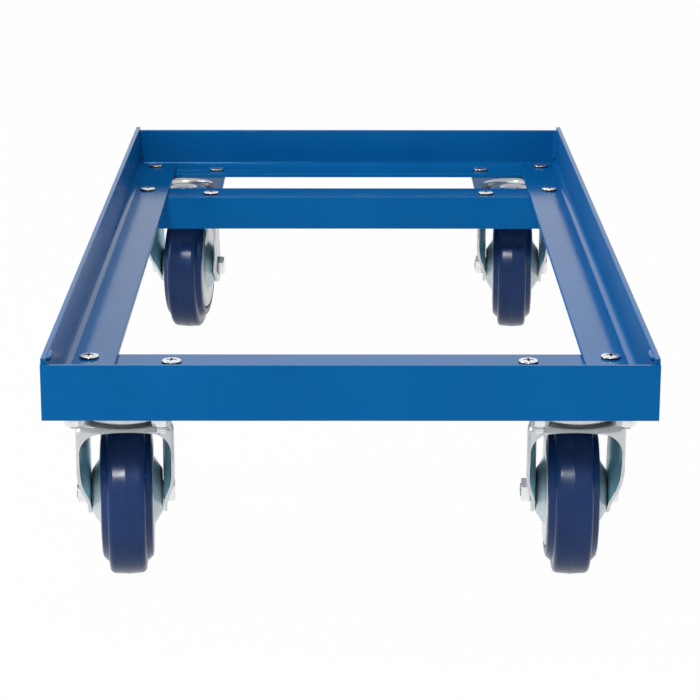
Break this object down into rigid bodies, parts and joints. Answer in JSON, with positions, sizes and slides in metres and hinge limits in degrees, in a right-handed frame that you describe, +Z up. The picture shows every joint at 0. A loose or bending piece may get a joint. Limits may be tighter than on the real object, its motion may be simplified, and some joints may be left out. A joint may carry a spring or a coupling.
{
  "type": "milk crate dolly",
  "caption": "Low oblong dolly of blue steel angle with upstanding lips that hold milk crates, open in the middle, on swivel casters with navy rubber wheels.",
  "frame": {"origin": "on the floor, under the middle of the angle frame", "axes": "+X across the dolly to the right, +Y along it to the rear, where the wheels trail, +Z up"},
  "size_m": [0.35, 0.7052, 0.16],
  "materials": {
    "powder_coat": "blue powder coat with a fine orange-peel texture",
    "zinc_plate": "bright zinc plate",
    "navy_rubber": "semi-gloss moulded rubber",
    "bush_plastic": "plain moulded",
    "bare_steel": "polished"
  },
  "bodies": {
    "frame": {"front_rail": "powder_coat", "rear_rail": "powder_coat", "left_rail": "powder_coat", "right_rail": "powder_coat", "front_cross_member": "powder_coat", "rear_cross_member": "powder_coat", "frame_welds": "powder_coat", "caster_screws": "zinc_plate", "caster_nuts": "zinc_plate", "front_left_top_plate": "zinc_plate", "front_left_kingpin": "zinc_plate", "front_left_lower_race": "zinc_plate", "front_right_top_plate": "zinc_plate", "front_right_kingpin": "zinc_plate", "front_right_lower_race": "zinc_plate", "rear_left_top_plate": "zinc_plate", "rear_left_kingpin": "zinc_plate", "rear_left_lower_race": "zinc_plate", "rear_right_top_plate": "zinc_plate", "rear_right_kingpin": "zinc_plate", "rear_right_lower_race": "zinc_plate"},
    "front_left_fork": {"front_left_fork": "zinc_plate", "front_left_swivel_balls": "bare_steel", "front_left_axle_bolt": "zinc_plate", "front_left_axle_nut": "zinc_plate", "front_left_axle_sleeve": "zinc_plate"},
    "front_left_wheel": {"front_left_wheel_bush": "bush_plastic", "front_left_rim_left": "zinc_plate", "front_left_rim_right": "zinc_plate", "front_left_tyre": "navy_rubber"},
    "front_right_fork": {"front_right_fork": "zinc_plate", "front_right_swivel_balls": "bare_steel", "front_right_axle_bolt": "zinc_plate", "front_right_axle_nut": "zinc_plate", "front_right_axle_sleeve": "zinc_plate"},
    "front_right_wheel": {"front_right_wheel_bush": "bush_plastic", "front_right_rim_left": "zinc_plate", "front_right_rim_right": "zinc_plate", "front_right_tyre": "navy_rubber"},
    "rear_left_fork": {"rear_left_fork": "zinc_plate", "rear_left_swivel_balls": "bare_steel", "rear_left_axle_bolt": "zinc_plate", "rear_left_axle_nut": "zinc_plate", "rear_left_axle_sleeve": "zinc_plate"},
    "rear_left_wheel": {"rear_left_wheel_bush": "bush_plastic", "rear_left_rim_left": "zinc_plate", "rear_left_rim_right": "zinc_plate", "rear_left_tyre": "navy_rubber"},
    "rear_right_fork": {"rear_right_fork": "zinc_plate", "rear_right_swivel_balls": "bare_steel", "rear_right_axle_bolt": "zinc_plate", "rear_right_axle_nut": "zinc_plate", "rear_right_axle_sleeve": "zinc_plate"},
    "rear_right_wheel": {"rear_right_wheel_bush": "bush_plastic", "rear_right_rim_left": "zinc_plate", "rear_right_rim_right": "zinc_plate", "rear_right_tyre": "navy_rubber"}
  },
  "joints": [
    {"name": "front_left_swivel", "type": "hinge", "parent": "frame", "child": "front_left_fork", "pos_m": [-0.1335, -0.2815, 0.0508], "axis": [0, 0, 1], "continuous": true},
    {"name": "front_left_roll", "type": "hinge", "parent": "front_left_fork", "child": "front_left_wheel", "pos_m": [-0.13545, -0.25357, 0.0508], "axis": [0.9976, 0.0698, 0], "continuous": true},
    {"name": "front_right_swivel", "type": "hinge", "parent": "frame", "child": "front_right_fork", "pos_m": [0.1335, -0.2815, 0.0508], "axis": [0, 0, 1], "continuous": true},
    {"name": "front_right_roll", "type": "hinge", "parent": "front_right_fork", "child": "front_right_wheel", "pos_m": [0.13448, -0.25352, 0.0508], "axis": [0.9994, -0.0349, 0], "continuous": true},
    {"name": "rear_left_swivel", "type": "hinge", "parent": "frame", "child": "rear_left_fork", "pos_m": [-0.1335, 0.2815, 0.0508], "axis": [0, 0, 1], "continuous": true},
    {"name": "rear_left_roll", "type": "hinge", "parent": "rear_left_fork", "child": "rear_left_wheel", "pos_m": [-0.13082, 0.30937, 0.0508], "axis": [0.9954, -0.0958, 0], "continuous": true},
    {"name": "rear_right_swivel", "type": "hinge", "parent": "frame", "child": "rear_right_fork", "pos_m": [0.1335, 0.2815, 0.0508], "axis": [0, 0, 1], "continuous": true},
    {"name": "rear_right_roll", "type": "hinge", "parent": "rear_right_fork", "child": "rear_right_wheel", "pos_m": [0.13521, 0.30945, 0.0508], "axis": [0.9981, -0.061, 0], "continuous": true}
  ]
}
